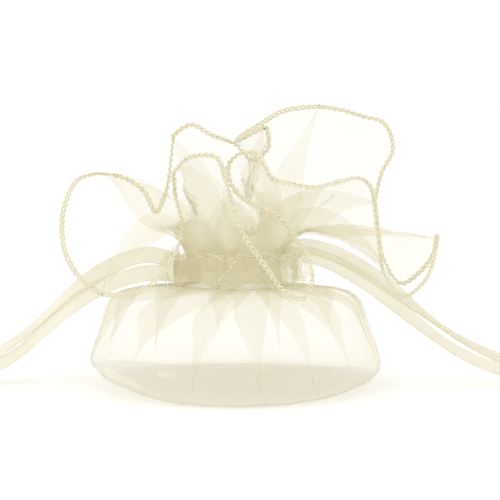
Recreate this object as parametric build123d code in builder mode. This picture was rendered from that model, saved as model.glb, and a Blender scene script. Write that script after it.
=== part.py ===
from build123d import *
import os
from math import cos, radians, sin, tan

# A drawstring gift pouch: one circle of sheer cloth gathered by a sewn casing into a flat
# bottomed bag below and an open ruffle above.  Two ribbons run round inside the casing, one
# leaving at the left mouth and one at the right.  X runs across the pouch from mouth to
# mouth, Y from front to back and Z up.  The origin is on the surface the pouch stands on,
# under the middle of the ruffle.  All sizes are in millimetres.

# ---- Driving dimensions: the bag ----
cloth = 0.8                 # wall of every gathered cloth piece
neck_x = -4.5               # the bag and its neck stand this far left of the ruffle's middle
base_radius = 44.5          # flat bottom
belly_radius = 46.3         # widest ring of the side wall
belly_height = 10.0
shoulder_radius = 42.5      # ring where the side turns in towards the neck
shoulder_height = 23.0
shoulder_fillet = 9.0       # how softly the side turns in
belly_fillet = 6.0
neck_radius = 11.0          # gathered cloth inside the casing
casing_bottom = 32.0        # height of the bag below the casing

# ---- Driving dimensions: the casing and its seams ----
casing_length = 46.0        # from the left mouth's tip to the right mouth's tip
casing_depth = 28.0         # from the front strip to the back strip
casing_height = 12.0
strip = 0.5                 # thickness of the casing strips and their sewn edges
mouth = 7.0                 # gap between the strips at each side
thread = 0.4                # sewing thread
seam_inset = 1.2            # from a strip's edge to its seam
hem_inset = 1.6             # from a strip's end to its hem stitches

# ---- Driving dimensions: the ruffle and its edging ----
side_reach = (neck_radius, 25.0, 43.0, 59.0, 68.0)    # left and right reach of each ring
depth_reach = (neck_radius, 18.0, 28.0, 38.0, 44.5)   # front and back reach of each ring
ruffle_rise = (0.0, 6.0, 14.0, 26.0, 50.0)     # height of each ring above the casing
rim_height = 67.0           # the rim above the ruffle's middle
rim_slope = 24.0            # degrees; the rim climbs from front to back
edging_height = 2.0
edging_thickness = 2.0

# ---- Driving dimensions: the ribbons ----
ribbon_width = 5.0
ribbon_thickness = 0.5
ribbon_gap = 0.4            # between the two ribbons, one above the other in the casing
ribbon_margin = 0.6         # between a ribbon and the strip it runs behind
strand_offset = 1.4         # each strand from the mouth's middle plane
coil_radius = 28.0          # middle of the put-away turns
coil_band = 4.0             # width of the wound turns
coil_x = 122.0              # from the origin to the middle of each coil
tie_thickness = 0.4
tie_width = 3.0
knot_length = 8.0
knot_width = 6.0
knot_height = 5.0
knot_angle = -60.0           # degrees round the coil from the side next to the pouch
knot_seat = 0.4             # how far the knot is pressed against the turns

# ---- Routes of the four free strands, as (x, z) in their own upright planes ----
left_front_route = [
    (-16.6, 34.9), (-26.5, 35.0), (-35.5, 37.3), (-45.5, 36.2), (-55.5, 29.0),
    (-65.0, 19.5), (-75.0, 10.8), (-87.0, 5.2), (-101.0, 2.9), (-115.0, 2.9),
]
left_back_route = [
    (-16.6, 34.9), (-26.5, 35.1), (-35.5, 37.9), (-45.5, 37.5), (-56.0, 31.0),
    (-66.0, 22.0), (-77.0, 12.6), (-90.0, 6.0), (-104.0, 2.9), (-117.0, 2.9),
]
right_front_route = [
    (7.6, 40.6), (16.0, 40.7), (25.0, 40.0), (35.0, 35.6), (45.0, 28.0),
    (56.0, 18.6), (68.0, 10.6), (82.0, 5.0), (98.0, 2.9), (114.0, 2.9),
]
right_back_route = [
    (7.6, 40.6), (16.0, 40.8), (25.5, 40.6), (35.5, 37.0), (46.0, 30.0),
    (57.5, 20.8), (70.0, 12.8), (85.0, 6.4), (101.0, 2.9), (117.0, 2.9),
]

# ---- Places worked out from the sizes above ----
casing_top = casing_bottom + casing_height
channel_bottom = casing_bottom + strip
channel_top = casing_top - strip
ribbon_stack = 2 * ribbon_width + ribbon_gap
lower_ribbon = channel_bottom + (channel_top - channel_bottom - ribbon_stack) / 2
upper_ribbon = lower_ribbon + ribbon_width + ribbon_gap
coil_bottom = tie_thickness
rim_plane = Plane(origin=(0, 0, rim_height), z_dir=(0, -sin(radians(rim_slope)), cos(radians(rim_slope))))

os.makedirs("parts", exist_ok=True)
pieces = []


def finish(piece, name):
    """Names a finished piece and keeps it for export."""
    piece.part.label = name
    pieces.append(piece.part)


def neck_plane(height):
    """A level plane at a height, centred on the neck."""
    return Plane(origin=(neck_x, 0, height))


def lens(length, depth):
    """The casing's outline from above: two arcs that meet at the left and right mouths."""
    with BuildSketch() as outline:
        with BuildLine():
            ThreePointArc((-length / 2, 0), (0, -depth / 2), (length / 2, 0))
            ThreePointArc((length / 2, 0), (0, depth / 2), (-length / 2, 0))
        make_face()
    return outline.sketch


def lens_inset(inset):
    """The casing's outline set in by a distance, measured square to its arcs."""
    return lens(casing_length - 2 * inset * tip_ratio, casing_depth - 2 * inset)


def lens_band(inset, band):
    """A thin closed band that follows the casing's outline, set in from it."""
    with BuildSketch() as ring:
        add(lens_inset(inset))
        add(lens_inset(inset + band), mode=Mode.SUBTRACT)
    return ring.sketch


# How much further a band is set in at the mouths' tips than at the front, so that its
# thickness stays even along the arcs.
arc_radius = ((casing_length / 2) ** 2 + (casing_depth / 2) ** 2) / casing_depth
tip_ratio = arc_radius / (casing_length / 2)


# ---- Organza: the bottom, side and neck of the bag ----
with BuildPart() as organza_base:
    with BuildSketch(neck_plane(0)):
        Circle(base_radius)
    extrude(amount=cloth)
finish(organza_base, "organza_base")

with BuildPart() as organza_wall:
    with BuildSketch(Plane(origin=(neck_x, 0, 0), x_dir=(1, 0, 0), z_dir=(0, -1, 0))) as wall_profile:
        with BuildLine():
            Polyline(
                (0, cloth),
                (base_radius, cloth),
                (belly_radius, belly_height),
                (shoulder_radius, shoulder_height),
                (neck_radius, casing_bottom),
                (0, casing_bottom),
                close=True,
            )
        make_face()
        corners = wall_profile.vertices().group_by(Axis.X)
        fillet(corners[-1], radius=belly_fillet)
        fillet(wall_profile.vertices().sort_by_distance((shoulder_radius, shoulder_height))[0], radius=shoulder_fillet)
    revolve(axis=Axis((neck_x, 0, 0), (0, 0, 1)))
    ends = organza_wall.faces().filter_by(Plane.XY)
    offset(amount=-cloth, openings=ends)
finish(organza_wall, "organza_wall")

with BuildPart() as organza_neck:
    with BuildSketch(neck_plane(casing_bottom)):
        Circle(neck_radius)
        Circle(neck_radius - cloth, mode=Mode.SUBTRACT)
    extrude(amount=casing_height)
finish(organza_neck, "organza_neck")


# ---- Organza: the ruffle and its crocheted edging ----
def ruffle_ring(ring, growth):
    """One level outline of the ruffle, an oval that moves from the neck to the middle."""
    lean = max(0, 1 - ruffle_rise[ring] / ruffle_rise[-2])
    middle = (neck_x * lean, 0, casing_top + ruffle_rise[ring])
    with BuildSketch(Plane(origin=middle)) as outline:
        Ellipse(side_reach[ring] + growth, depth_reach[ring] + growth)
    return outline.sketch


def ruffle_wall(outer_growth, thickness):
    """The whole ruffle as an open topped shell, before its rim is cut."""
    rings = range(len(ruffle_rise))
    with BuildPart() as shell:
        loft([ruffle_ring(ring, outer_growth) for ring in rings], ruled=True)
        inner = [ruffle_ring(ring, outer_growth - thickness) for ring in rings]
        loft(inner, ruled=True, mode=Mode.SUBTRACT)
    return shell.part


rim_cut_size = 2 * side_reach[-1] + 20

with BuildPart() as organza_ruffle:
    add(ruffle_wall(0, cloth))
    with BuildSketch(rim_plane):
        Rectangle(rim_cut_size, rim_cut_size)
    extrude(amount=rim_cut_size, mode=Mode.SUBTRACT)
finish(organza_ruffle, "organza_ruffle")

with BuildPart() as rim_edging:
    add(ruffle_wall((edging_thickness - cloth) / 2, edging_thickness))
    with BuildSketch(rim_plane):
        Rectangle(rim_cut_size, rim_cut_size)
    extrude(amount=edging_height, mode=Mode.INTERSECT)
finish(rim_edging, "rim_edging")


# ---- Casing strips, seams and hem stitches ----
def strip_zone(side):
    """The part of the plan that one strip covers, in front of (-1) or behind (1) the mouths."""
    with BuildSketch() as zone:
        with Locations((0, side * (mouth + casing_depth) / 2)):
            Rectangle(2 * casing_length, casing_depth)
    return zone.sketch


def casing_strip(side):
    """One casing strip: its upright band and the two edges sewn to the neck."""
    with BuildPart() as half:
        for edge_height in (casing_bottom, channel_top):
            with BuildSketch(neck_plane(edge_height)):
                add(lens_inset(0))
                Circle(neck_radius, mode=Mode.SUBTRACT)
                add(strip_zone(side), mode=Mode.INTERSECT)
            extrude(amount=strip)
        with BuildSketch(neck_plane(casing_bottom)):
            add(lens_band(0, strip))
            add(strip_zone(side), mode=Mode.INTERSECT)
        extrude(amount=casing_height)
    return half


for side, name in ((-1, "front"), (1, "back")):
    finish(casing_strip(side), f"casing_{name}")


def seam(height):
    """A row of stitches along both strips, lying on their outer faces."""
    with BuildPart() as row:
        with BuildSketch(neck_plane(height - thread / 2)):
            add(lens_band(-thread, thread))
            Rectangle(2 * casing_length, mouth + 2 * hem_inset, mode=Mode.SUBTRACT)
        extrude(amount=thread)
    return row


finish(seam(casing_bottom + seam_inset), "casing_seam_lower")
finish(seam(casing_top - seam_inset), "casing_seam_upper")


def hem_stitches(end, side):
    """The upright row of stitches that holds one folded strip end."""
    with BuildPart() as row:
        with BuildSketch(neck_plane(casing_bottom + 2 * seam_inset)):
            add(lens_band(-thread, thread))
            with Locations((end * casing_length / 2, side * (mouth + hem_inset) / 2)):
                Rectangle(casing_length, hem_inset - thread, mode=Mode.INTERSECT)
        extrude(amount=casing_height - 4 * seam_inset)
    return row


for end, end_name in ((-1, "left"), (1, "right")):
    for side, side_name in ((-1, "front"), (1, "back")):
        finish(hem_stitches(end, side), f"hem_stitches_{side_name}_{end_name}")


# ---- Ribbons inside the casing ----
def ribbon_in_casing(end, height):
    """The run of one ribbon round the neck, open at the mouth it leaves by."""
    with BuildPart() as run:
        with BuildSketch(neck_plane(height)):
            add(lens_band(strip + ribbon_margin, ribbon_thickness))
            with Locations((end * casing_length / 2, 0)):
                Rectangle(casing_length, mouth, mode=Mode.SUBTRACT)
        extrude(amount=ribbon_width)
    return run


finish(ribbon_in_casing(-1, lower_ribbon), "left_ribbon_in_casing")
finish(ribbon_in_casing(1, upper_ribbon), "right_ribbon_in_casing")


# ---- Free strands of the ribbons ----
def route_radii(points):
    """One bend radius for each inner point, as large as its two runs allow."""
    radii = []
    for before, point, after in zip(points, points[1:], points[2:]):
        first = Vector(*point) - Vector(*before)
        second = Vector(*after) - Vector(*point)
        turn = first.get_angle(second)
        shorter = min(first.length, second.length)
        radii.append(0.45 * shorter / tan(radians(turn) / 2))
    return radii


def strand(name, route, offset_y):
    """A flat ribbon on edge along its route, from inside the mouth to its coil."""
    points = [(x, offset_y, z) for x, z in route]
    radii = route_radii(points)
    with BuildPart() as ribbon:
        with BuildLine() as path:
            FilletPolyline(*points, radius=radii)
        start = Plane(origin=points[0], x_dir=(0, 1, 0), z_dir=path.line % 0)
        with BuildSketch(start):
            Rectangle(ribbon_thickness, ribbon_width)
        sweep()
    run_length = sum(edge.length for edge in path.edges())
    expected = ribbon_width * ribbon_thickness * run_length
    print(name, "length", round(run_length, 1), "smallest radius", round(min(radii), 1),
          "volume over section x length", round(ribbon.part.volume / expected, 4))
    return ribbon


def coil(end):
    """The outer shape of the put-away turns, standing on edge in a ring."""
    with BuildPart() as ring:
        with BuildSketch(Plane(origin=(end * coil_x, coil_radius, coil_bottom))):
            Circle(coil_radius + coil_band / 2)
            Circle(coil_radius - coil_band / 2, mode=Mode.SUBTRACT)
        extrude(amount=ribbon_width)
    return ring


def coil_frame(end, angle, radius):
    """A plane on the coil: X along the ring, Y outwards, at an angle from the pouch's side."""
    turn = radians(angle)
    outward = (-end * cos(turn), sin(turn), 0)
    origin = (end * coil_x + radius * outward[0], coil_radius + radius * outward[1], 0)
    return Plane(origin=origin, x_dir=(outward[1], -outward[0], 0), z_dir=(0, 0, 1))


def tie(end):
    """A narrow band round all the turns, on the far side of the coil."""
    wrap_height = ribbon_width + 2 * tie_thickness
    middle = (end * (coil_x + coil_radius), coil_radius, wrap_height / 2)
    with BuildPart() as band:
        with BuildSketch(Plane(origin=middle, x_dir=(1, 0, 0), z_dir=(0, -1, 0))):
            Rectangle(coil_band + 2 * tie_thickness, wrap_height)
            Rectangle(coil_band, ribbon_width, mode=Mode.SUBTRACT)
        extrude(amount=tie_width / 2, both=True)
    return band


def knot(end):
    """The overhand knot that joins the two strand ends, inside the coil."""
    inner = coil_radius - coil_band / 2 - knot_width / 2 + knot_seat
    with BuildPart() as bead:
        with BuildSketch(coil_frame(end, knot_angle, inner).offset(coil_bottom)):
            RectangleRounded(knot_length, knot_width, knot_width / 2 - 0.1)
        extrude(amount=knot_height)
        fillet(bead.faces().sort_by(Axis.Z)[-1].edges(), radius=1.5)
    return bead


for end, name, front, back in (
    (-1, "left", left_front_route, left_back_route),
    (1, "right", right_front_route, right_back_route),
):
    finish(strand(f"{name}_strand_front", front, -strand_offset), f"{name}_strand_front")
    finish(strand(f"{name}_strand_back", back, strand_offset), f"{name}_strand_back")
    finish(coil(end), f"{name}_coil")
    finish(tie(end), f"{name}_coil_tie")
    finish(knot(end), f"{name}_knot")

for part in pieces:
    export_step(part, f"parts/{part.label}.step")
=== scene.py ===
"""Looks for a drawstring gift pouch: a gathered circle of sheer cloth, its casing, edging and ribbons."""

import logging
import math
from dataclasses import dataclass
from enum import Enum

import bpy
import numpy as np
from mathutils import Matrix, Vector


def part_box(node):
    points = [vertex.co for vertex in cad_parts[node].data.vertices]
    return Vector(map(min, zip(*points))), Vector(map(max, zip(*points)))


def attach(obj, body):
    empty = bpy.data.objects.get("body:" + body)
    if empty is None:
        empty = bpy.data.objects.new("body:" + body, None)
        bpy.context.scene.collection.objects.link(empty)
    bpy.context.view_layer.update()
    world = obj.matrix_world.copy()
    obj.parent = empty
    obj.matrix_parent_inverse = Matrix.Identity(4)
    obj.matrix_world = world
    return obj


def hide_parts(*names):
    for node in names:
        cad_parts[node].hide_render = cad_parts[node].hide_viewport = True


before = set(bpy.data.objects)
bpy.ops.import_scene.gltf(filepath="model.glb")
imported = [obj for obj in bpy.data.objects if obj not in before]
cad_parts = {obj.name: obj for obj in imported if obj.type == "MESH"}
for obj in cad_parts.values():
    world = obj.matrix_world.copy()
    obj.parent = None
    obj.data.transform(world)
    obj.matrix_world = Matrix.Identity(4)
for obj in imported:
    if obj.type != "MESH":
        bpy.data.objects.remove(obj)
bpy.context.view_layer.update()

LOG = logging.getLogger("pouch")
MM = 0.001

Colour = tuple[float, float, float]


# ---------------------------------------------------------------- small helpers


def clear_selection() -> None:
    """Leave object mode with nothing selected, so an operator only meets its own piece."""
    if bpy.context.object is not None and bpy.context.object.mode != "OBJECT":
        bpy.ops.object.mode_set(mode="OBJECT")
    bpy.ops.object.select_all(action="DESELECT")


def choose(piece: bpy.types.Object) -> None:
    """Make one piece the only selected and active object.

    Args:
        piece: The piece to choose.
    """
    clear_selection()
    piece.select_set(True)
    bpy.context.view_layer.objects.active = piece


def settle(piece: bpy.types.Object) -> None:
    """Bake a piece's place into its mesh and leave its object at the origin.

    Args:
        piece: The piece to settle.
    """
    choose(piece)
    bpy.ops.object.transform_apply(location=True, rotation=True, scale=True)


def apply_modifiers(piece: bpy.types.Object) -> None:
    """Apply every modifier on a piece, in order.

    Args:
        piece: The piece that has them.
    """
    choose(piece)
    for modifier in list(piece.modifiers):
        bpy.ops.object.modifier_apply(modifier=modifier.name)


def mesh_piece(name: str, points: np.ndarray, faces: list, smooth: bool = True) -> bpy.types.Object:
    """Make a mesh object from points and faces.

    Args:
        name: The piece's name.
        points: An (n, 3) array in metres.
        faces: Tuples of point numbers.
        smooth: Whether its faces are shaded smooth.

    Returns:
        The new object, linked to the scene.
    """
    mesh = bpy.data.meshes.new(name)
    mesh.from_pydata([tuple(p) for p in points], [], faces)
    mesh.update()
    if smooth:
        mesh.polygons.foreach_set("use_smooth", [True] * len(mesh.polygons))
    piece = bpy.data.objects.new(name, mesh)
    bpy.context.scene.collection.objects.link(piece)
    return piece


def grid_faces(columns: int, rows: int, closed: bool) -> list:
    """Quads of a grid whose points run row by row.

    Args:
        columns: Points in each row.
        rows: Number of rows.
        closed: Whether the last column joins the first.

    Returns:
        A list of four-number tuples.
    """
    faces = []
    last = columns if closed else columns - 1
    for row in range(rows - 1):
        for column in range(last):
            after = (column + 1) % columns
            low = row * columns
            high = low + columns
            faces.append((low + column, low + after, high + after, high + column))
    return faces


def unit(vectors: np.ndarray) -> np.ndarray:
    """Scale rows of vectors to length one.

    Args:
        vectors: An array whose last axis holds each vector.

    Returns:
        An array of the same shape.
    """
    lengths = np.linalg.norm(vectors, axis=-1, keepdims=True)
    return vectors / np.maximum(lengths, 1e-12)


def smooth_step(value: np.ndarray) -> np.ndarray:
    """Ease a share from 0 to 1.

    Args:
        value: The share before easing, of any size.

    Returns:
        The eased share, flat at both ends.
    """
    t = np.clip(value, 0.0, 1.0)
    return t * t * (3 - 2 * t)


def tube_mesh(name: str, path: np.ndarray, radius: float, sides: int, closed: bool) -> bpy.types.Object:
    """Make a round thread that follows a path.

    Args:
        name: The piece's name.
        path: An (n, 3) array of points in metres.
        radius: The thread's radius in metres.
        sides: Points round the thread.
        closed: Whether the path joins itself.

    Returns:
        The new mesh object.
    """
    count = len(path)
    if closed:
        along = unit(np.roll(path, -1, 0) - np.roll(path, 1, 0))
    else:
        along = unit(np.gradient(path, axis=0))
    side = np.zeros_like(path)
    reference = np.array((0.0, 0.0, 1.0)) if abs(along[0][2]) < 0.9 else np.array((1.0, 0.0, 0.0))
    side[0] = unit(np.cross(along[0], reference))
    for i in range(1, count):
        carried = side[i - 1] - along[i] * np.dot(side[i - 1], along[i])
        side[i] = unit(carried)
    up = np.cross(along, side)
    angles = np.linspace(0, 2 * math.pi, sides, endpoint=False)
    rings = (
        path[:, None, :]
        + radius * np.cos(angles)[None, :, None] * side[:, None, :]
        + radius * np.sin(angles)[None, :, None] * up[:, None, :]
    )
    faces = []
    spans = count if closed else count - 1
    for i in range(spans):
        here, there = i * sides, ((i + 1) % count) * sides
        for k in range(sides):
            n = (k + 1) % sides
            faces.append((here + k, here + n, there + n, there + k))
    if not closed:
        faces.append(tuple(range(sides - 1, -1, -1)))
        faces.append(tuple((count - 1) * sides + k for k in range(sides)))
    return mesh_piece(name, rings.reshape(-1, 3), faces)


def closed_curve(points: np.ndarray, samples: int) -> np.ndarray:
    """Resample a closed smooth curve through points, evenly along its length.

    Args:
        points: An (n, 3) array of points it passes through.
        samples: How many even points to return.

    Returns:
        A (samples, 3) array.
    """
    dense = []
    count = len(points)
    for i in range(count):
        a, b, c, d = (points[(i + k - 1) % count] for k in range(4))
        for t in np.linspace(0, 1, 12, endpoint=False):
            dense.append(
                0.5 * ((2 * b) + (c - a) * t + (2 * a - 5 * b + 4 * c - d) * t**2 + (3 * b - a - 3 * c + d) * t**3)
            )
    return resample(np.array(dense + [dense[0]]), samples + 1)[:-1]


def resample(path: np.ndarray, samples: int) -> np.ndarray:
    """Place points evenly along a path.

    Args:
        path: An (n, 3) array of points.
        samples: How many even points to return.

    Returns:
        A (samples, 3) array.
    """
    steps = np.linalg.norm(np.diff(path, axis=0), axis=1)
    distance = np.concatenate(([0], np.cumsum(steps)))
    wanted = np.linspace(0, distance[-1], samples)
    return np.stack([np.interp(wanted, distance, path[:, k]) for k in range(3)], axis=1)


def set_flat(piece: bpy.types.Object, flat: np.ndarray) -> None:
    """Store each point's place on the flat cloth that it was folded from.

    Args:
        piece: The cloth or ribbon.
        flat: An (n, 2) array in metres, one row for each point of the mesh.
    """
    numbers = np.empty(len(piece.data.loops), dtype=np.int32)
    piece.data.loops.foreach_get("vertex_index", numbers)
    layer = piece.data.uv_layers.new(name="flat")
    layer.data.foreach_set("uv", flat[numbers].ravel().astype(np.float32))


def join_pieces(pieces: list, name: str) -> bpy.types.Object:
    """Join several pieces into one object.

    Args:
        pieces: The objects to join.
        name: The joined piece's name.

    Returns:
        The joined object.
    """
    clear_selection()
    for piece in pieces:
        piece.select_set(True)
    bpy.context.view_layer.objects.active = pieces[0]
    bpy.ops.object.join()
    joined = bpy.context.object
    joined.name = name
    return joined


# ---------------------------------------------------------------- shader groups


def set_inputs(tree: bpy.types.NodeTree, node: bpy.types.Node, inputs: dict) -> None:
    """Set a node's inputs.

    Args:
        tree: The node tree it is in.
        node: The node.
        inputs: Each input's value, or the socket that feeds it, by name or number.
    """
    for name, value in inputs.items():
        if isinstance(value, bpy.types.NodeSocket):
            tree.links.new(value, node.inputs[name])
        else:
            node.inputs[name].default_value = value


def add_node(tree: bpy.types.NodeTree, kind: str, inputs: dict | None = None, **settings: object) -> bpy.types.Node:
    """Add one node.

    Args:
        tree: The node tree it goes into.
        kind: The node's type.
        inputs: Each input's value, or the socket that feeds it, by name or number.
        settings: The node's own settings, which are set first.

    Returns:
        The new node.
    """
    node = tree.nodes.new(kind)
    for setting, value in settings.items():
        setattr(node, setting, value)
    set_inputs(tree, node, inputs or {})
    return node


def new_group(name: str, inputs: dict, outputs: tuple) -> bpy.types.NodeTree:
    """Start a node group that reads one place and some numbers, and gives numbers.

    Args:
        name: The group's name.
        inputs: Each number it takes, with its default.
        outputs: The names of the numbers it gives.

    Returns:
        The group, with its sockets and no nodes.
    """
    group = bpy.data.node_groups.new(name, "ShaderNodeTree")
    group.interface.new_socket(name="Vector", in_out="INPUT", socket_type="NodeSocketVector")
    for label, value in inputs.items():
        socket = group.interface.new_socket(name=label, in_out="INPUT", socket_type="NodeSocketFloat")
        socket.default_value = value
    for label in outputs:
        group.interface.new_socket(name=label, in_out="OUTPUT", socket_type="NodeSocketFloat")
    return group


def weave_group() -> bpy.types.NodeTree:
    """A plain weave of crossing threads, read from the cloth's own flat coordinates.

    Returns:
        A group with Vector, Threads per metre and Unevenness in, and Threads and Height out.
    """
    found = bpy.data.node_groups.get("plain_weave")
    if found:
        return found
    group = new_group("plain_weave", {"Threads per metre": 1500.0, "Unevenness": 0.6}, ("Threads", "Height"))
    given = add_node(group, "NodeGroupInput").outputs
    scaled = add_node(
        group, "ShaderNodeVectorMath", {0: given["Vector"], "Scale": given["Threads per metre"]}, operation="SCALE"
    ).outputs["Vector"]
    across, along = (
        add_node(
            group,
            "ShaderNodeTexWave",
            {"Scale": 0.314, "Distortion": 0.0, "Detail": 0.0, "Vector": scaled},
            bands_direction=direction,
        ).outputs["Fac"]
        for direction in ("X", "Y")
    )
    crossing = add_node(group, "ShaderNodeMath", {0: across, 1: along}, operation="MAXIMUM").outputs["Value"]
    slub = add_node(group, "ShaderNodeTexNoise", {"Scale": 0.11, "Detail": 2.0, "Vector": scaled}).outputs["Fac"]
    blend = add_node(group, "ShaderNodeMix", {"Factor": given["Unevenness"], 2: crossing, 3: slub}, data_type="FLOAT")
    add_node(group, "NodeGroupOutput", {"Threads": blend.outputs[0], "Height": crossing})
    return group


def mottle_group() -> bpy.types.NodeTree:
    """Slow uneven patches of tone, as undyed cloth and thread have.

    Returns:
        A group with Vector and Scale in, and Mask out.
    """
    found = bpy.data.node_groups.get("tone_patches")
    if found:
        return found
    group = new_group("tone_patches", {"Scale": 60.0}, ("Mask",))
    given = add_node(group, "NodeGroupInput").outputs
    noise = add_node(
        group,
        "ShaderNodeTexNoise",
        {"Detail": 3.0, "Roughness": 0.55, "Vector": given["Vector"], "Scale": given["Scale"]},
    ).outputs["Fac"]
    spread = add_node(group, "ShaderNodeMapRange", {"From Min": 0.3, "From Max": 0.7, "Value": noise})
    add_node(group, "NodeGroupOutput", {"Mask": spread.outputs["Result"]})
    return group


@dataclass(frozen=True)
class Finish:
    """What every finish has: its material's name, a slot name and its two tones."""

    name: str
    slot: str
    light: Colour
    deep: Colour

    def wire(self, tree: bpy.types.NodeTree) -> None:
        """Add the finish's nodes to its material.

        Args:
            tree: The material's nodes.
        """
        raise NotImplementedError

    def material(self) -> bpy.types.Material:
        """Build or find this finish's material.

        Returns:
            The material.
        """
        found = bpy.data.materials.get(self.name)
        if found:
            return found
        material = bpy.data.materials.new(self.name)
        material.use_nodes = True
        self.wire(material.node_tree)
        return material

    def dress(self, piece: bpy.types.Object) -> None:
        """Give a piece this finish.

        Args:
            piece: The piece to dress.
        """
        piece.data.materials.clear()
        piece.data.materials.append(self.material())


def weave_and_patches(tree: bpy.types.NodeTree, place: bpy.types.NodeSocket, weave: dict, patch_scale: float) -> tuple:
    """Add the two shared effects to a material.

    Args:
        tree: The material's nodes.
        place: The coordinates the weave is read from.
        weave: The weave's numbers.
        patch_scale: How small the patches of tone are.

    Returns:
        (the weave's outputs, the patches' mask).
    """
    woven = add_node(tree, "ShaderNodeGroup", {"Vector": place, **weave}, node_tree=weave_group())
    here = add_node(tree, "ShaderNodeTexCoord").outputs["Object"]
    patches = add_node(tree, "ShaderNodeGroup", {"Vector": here, "Scale": patch_scale}, node_tree=mottle_group())
    return woven.outputs, patches.outputs["Mask"]


def uneven_roughness(tree: bpy.types.NodeTree, threads: bpy.types.NodeSocket, middle: float, reach: float) -> object:
    """Vary the roughness from thread to thread.

    Args:
        tree: The material's nodes.
        threads: The weave's threads.
        middle: The usual roughness.
        reach: How far it goes either way.

    Returns:
        The socket that gives the roughness.
    """
    ends = {"To Min": middle - reach, "To Max": middle + reach, "Value": threads}
    return add_node(tree, "ShaderNodeMapRange", ends).outputs["Result"]


@dataclass(frozen=True)
class ThreadFinish(Finish):
    """Opaque spun thread or woven tape, with a twist or weave and slow patches of tone."""

    roughness: float = 0.7
    sheen: float = 0.25
    grain: float = 2600.0
    bump: float = 0.25
    patch_scale: float = 220.0

    def wire(self, tree: bpy.types.NodeTree) -> None:
        """Add the thread's nodes to its material.

        Args:
            tree: The material's nodes.
        """
        place = add_node(tree, "ShaderNodeTexCoord").outputs["Object"]
        numbers = {"Threads per metre": self.grain, "Unevenness": 0.4}
        weave, patches = weave_and_patches(tree, place, numbers, self.patch_scale)
        half = add_node(tree, "ShaderNodeMath", {0: patches, 1: 0.5}, operation="MULTIPLY").outputs["Value"]
        amount = add_node(tree, "ShaderNodeMath", {0: weave["Threads"], 1: 0.5, 2: half}, operation="MULTIPLY_ADD")
        ends = {6: (*self.deep, 1), 7: (*self.light, 1), "Factor": amount.outputs["Value"]}
        relief = {"Strength": self.bump, "Distance": 0.0001, "Height": weave["Height"]}
        surface = {
            "Base Color": add_node(tree, "ShaderNodeMix", ends, data_type="RGBA").outputs[2],
            "Roughness": uneven_roughness(tree, weave["Threads"], self.roughness, 0.12),
            "Normal": add_node(tree, "ShaderNodeBump", relief).outputs["Normal"],
            "Sheen Weight": self.sheen,
            "Sheen Roughness": 0.4,
        }
        set_inputs(tree, tree.nodes["Principled BSDF"], surface)


@dataclass(frozen=True)
class SheerFinish(Finish):
    """Sheer cloth: nearly clear square on, denser at a slant and along its threads."""

    clear: float = 0.17
    slant: float = 0.42
    slant_power: float = 3.0
    threads: float = 1300.0
    weave_depth: float = 0.35
    roughness: float = 0.75
    glow: float = 0.33
    selvedge: float = 0.0

    def wire(self, tree: bpy.types.NodeTree) -> None:
        """Add the cloth's nodes to its material.

        Args:
            tree: The material's nodes.
        """
        flat = add_node(tree, "ShaderNodeUVMap", uv_map="flat").outputs["UV"]
        numbers = {"Threads per metre": self.threads, "Unevenness": 0.45}
        weave, patches = weave_and_patches(tree, flat, numbers, 70.0)
        ends = {6: (*self.light, 1), 7: (*self.deep, 1), "Factor": patches}
        facing = add_node(tree, "ShaderNodeLayerWeight", {"Blend": 0.5}).outputs["Facing"]
        curve = add_node(tree, "ShaderNodeMath", {0: facing, 1: self.slant_power}, operation="POWER").outputs["Value"]
        slanted = add_node(
            tree, "ShaderNodeMath", {0: curve, 1: self.slant - self.clear, 2: self.clear}, operation="MULTIPLY_ADD"
        )
        span = {"To Min": 1 - self.weave_depth, "To Max": 1 + self.weave_depth, "Value": weave["Threads"]}
        thread = add_node(tree, "ShaderNodeMapRange", span).outputs["Result"]
        both = {0: slanted.outputs["Value"], 1: thread}
        opacity = add_node(tree, "ShaderNodeMath", both, operation="MULTIPLY", use_clamp=True).outputs["Value"]
        if self.selvedge > 0:
            opacity = self.edge_threads(tree, flat, opacity)
        surface = {
            "Base Color": add_node(tree, "ShaderNodeMix", ends, data_type="RGBA").outputs[2],
            "Alpha": opacity,
            "Roughness": uneven_roughness(tree, weave["Threads"], self.roughness, 0.1),
            "Sheen Weight": 0.1,
            "Transmission Weight": self.glow,
            "IOR": 1.02,
        }
        set_inputs(tree, tree.nodes["Principled BSDF"], surface)

    def edge_threads(
        self, tree: bpy.types.NodeTree, flat: bpy.types.NodeSocket, opacity: bpy.types.NodeSocket
    ) -> bpy.types.NodeSocket:
        """Thicken a ribbon's two woven edges.

        Args:
            tree: The material's nodes.
            flat: The place along and across the ribbon.
            opacity: The opacity so far.

        Returns:
            The opacity with its edges added.
        """
        apart = add_node(tree, "ShaderNodeSeparateXYZ", {"Vector": flat}).outputs["Y"]
        outward = add_node(tree, "ShaderNodeMath", {0: apart}, operation="ABSOLUTE").outputs["Value"]
        edge = {"From Min": 0.00205, "From Max": 0.0023, "To Max": self.selvedge, "Value": outward}
        band = add_node(tree, "ShaderNodeMapRange", edge).outputs["Result"]
        both = {0: band, 1: opacity}
        return add_node(tree, "ShaderNodeMath", both, operation="ADD", use_clamp=True).outputs["Value"]



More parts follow.
